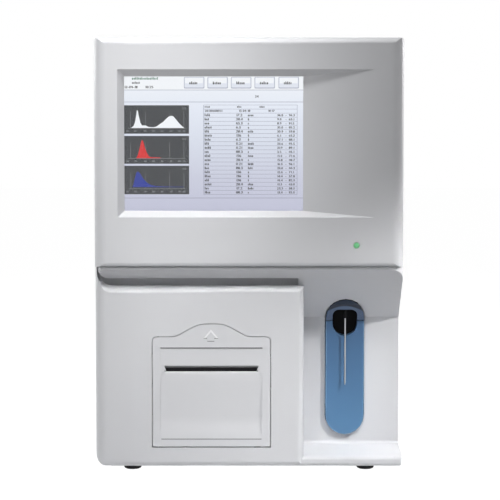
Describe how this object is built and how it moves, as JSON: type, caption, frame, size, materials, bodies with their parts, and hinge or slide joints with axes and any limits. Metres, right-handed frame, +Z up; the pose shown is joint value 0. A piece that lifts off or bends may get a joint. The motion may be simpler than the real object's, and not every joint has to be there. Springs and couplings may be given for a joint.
{
  "type": "hematology analyzer",
  "caption": "Bench-top hematology analyzer with touch screen, built-in printer behind a hinged door, recessed sampling probe that lifts on a belt, blue start key and rear fan, inlet and ports.",
  "frame": {"origin": "centre of the bounding box's bottom face, on the plane of the foot soles", "axes": "+Z up, +X to the operator's right, the front with the screen faces -Y"},
  "size_m": [0.361, 0.43, 0.512],
  "materials": {
    "shell_plastic": "satin moulded housing plastic",
    "painted_sheet": "fine-textured powder coat",
    "zinc_sheet": "zinc-plated sheet",
    "foot_rubber": "black rubber",
    "screen_glass": "clear touch glass",
    "display_panel": "lit display cell in a metal frame",
    "led_green": "clear green lens",
    "key_blue": "satin blue plastic",
    "black_plastic": "satin black plastic",
    "polished_steel": "ground stainless steel",
    "acetal_white": "machined white plastic",
    "belt_rubber": "toothed belt",
    "motor_black": "black painted motor case",
    "motor_steel": "plated motor can",
    "thermal_paper": "thermal paper",
    "pinion_brass": "cut brass",
    "clear_plastic": "clear moulded plastic",
    "board_green": "green circuit board",
    "aluminium": "machined aluminium"
  },
  "bodies": {
    "chassis": {"front_bezel": "shell_plastic", "lower_front_cover": "shell_plastic", "top_cover": "painted_sheet", "left_side_panel": "painted_sheet", "right_side_panel": "painted_sheet", "rear_panel": "painted_sheet", "base_plate": "zinc_sheet", "mid_plate": "zinc_sheet", "foot_front_left": "foot_rubber", "foot_front_right": "foot_rubber", "foot_rear_left": "foot_rubber", "foot_rear_right": "foot_rubber", "touch_glass": "screen_glass", "lcd_module": "display_panel", "display_bracket": "zinc_sheet", "status_led": "led_green", "probe_hood": "key_blue", "key_switch": "black_plastic", "wipe_block": "black_plastic", "guide_rail": "polished_steel", "lift_bracket": "zinc_sheet", "drive_belt": "belt_rubber", "lift_motor": "motor_black", "printer_frame": "black_plastic", "door_hinge_rod": "polished_steel", "printer_motor": "motor_steel", "print_head": "aluminium", "syringe_bracket": "zinc_sheet", "syringe_barrel": "clear_plastic", "syringe_motor": "motor_black", "wbc_bath": "clear_plastic", "rbc_bath": "clear_plastic", "valve_bank": "black_plastic", "vacuum_pump": "motor_black", "main_board": "board_green", "power_supply": "zinc_sheet", "power_inlet": "black_plastic", "fan_frame": "black_plastic", "fan_guard": "polished_steel", "data_port_block": "black_plastic", "reagent_ports": "acetal_white"},
    "printer_door": {"printer_door": "shell_plastic"},
    "platen": {"platen_roller": "foot_rubber", "platen_gear": "acetal_white"},
    "paper": {"paper_roll": "thermal_paper"},
    "idler_gear": {"printer_idler_gear": "acetal_white"},
    "pinion": {"printer_pinion": "pinion_brass"},
    "key": {"start_key": "key_blue"},
    "probe": {"probe_needle": "polished_steel", "probe_carriage": "acetal_white"},
    "lift_drive": {"drive_pulley": "aluminium"},
    "lift_idler": {"idler_pulley": "aluminium"},
    "plunger": {"syringe_plunger": "acetal_white"},
    "screw": {"lead_screw": "polished_steel"},
    "rocker": {"power_rocker": "black_plastic"},
    "fan": {"fan_rotor": "black_plastic"}
  },
  "joints": [
    {"name": "printer_door_hinge", "type": "hinge", "parent": "chassis", "child": "printer_door", "pos_m": [-0.044, -0.201, 0.0385], "axis": [1, 0, 0], "range_deg": [0, 85]},
    {"name": "printer_motor_spin", "type": "hinge", "parent": "chassis", "child": "pinion", "pos_m": [0.0219, -0.1562, 0.1165], "axis": [1, 0, 0], "continuous": true},
    {"name": "printer_idler_spin", "type": "hinge", "parent": "chassis", "child": "idler_gear", "pos_m": [0.0219, -0.1743, 0.1165], "axis": [1, 0, 0], "continuous": true},
    {"name": "platen_spin", "type": "hinge", "parent": "printer_door", "child": "platen", "pos_m": [-0.044, -0.1944, 0.1165], "axis": [1, 0, 0], "continuous": true},
    {"name": "paper_roll_spin", "type": "hinge", "parent": "chassis", "child": "paper", "pos_m": [-0.044, -0.1645, 0.0596], "axis": [1, 0, 0], "continuous": true},
    {"name": "start_key_press", "type": "hinge", "parent": "chassis", "child": "key", "pos_m": [0.1155, -0.127, 0.168], "axis": [1, 0, 0], "range_deg": [0, 1.5], "stiffness_Nm_per_rad": 6},
    {"name": "probe_lift", "type": "slide", "parent": "chassis", "child": "probe", "axis": [0, 0, 1], "range_m": [0, 0.082]},
    {"name": "lift_drive_spin", "type": "hinge", "parent": "chassis", "child": "lift_drive", "pos_m": [0.142, -0.1235, 0.212], "axis": [0, 1, 0], "range_deg": [-560, 560]},
    {"name": "lift_idler_spin", "type": "hinge", "parent": "chassis", "child": "lift_idler", "pos_m": [0.142, -0.1235, 0.314], "axis": [0, 1, 0], "range_deg": [-560, 560]},
    {"name": "syringe_plunge", "type": "slide", "parent": "chassis", "child": "plunger", "axis": [0, 0, 1], "range_m": [0, 0.028]},
    {"name": "syringe_screw_spin", "type": "hinge", "parent": "chassis", "child": "screw", "pos_m": [-0.094, -0.093, 0.07], "axis": [0, 0, 1], "range_deg": [-1020, 1020]},
    {"name": "power_rocker_tip", "type": "hinge", "parent": "chassis", "child": "rocker", "pos_m": [0.118, 0.1973, 0.105], "axis": [-1, 0, 0], "range_deg": [0, 12]},
    {"name": "fan_spin", "type": "hinge", "parent": "chassis", "child": "fan", "pos_m": [-0.092, 0.187, 0.372], "axis": [0, 1, 0], "continuous": true}
  ],
  "couplings": [
    {"joint": "printer_idler_spin", "follows": "platen_spin", "ratio": -0.66667},
    {"joint": "printer_motor_spin", "follows": "platen_spin", "ratio": 1.3333},
    {"joint": "lift_drive_spin", "follows": "probe_lift", "rad_per_m": 116.28},
    {"joint": "lift_idler_spin", "follows": "probe_lift", "rad_per_m": 116.28},
    {"joint": "syringe_screw_spin", "follows": "syringe_plunge", "rad_per_m": -628.32}
  ]
}
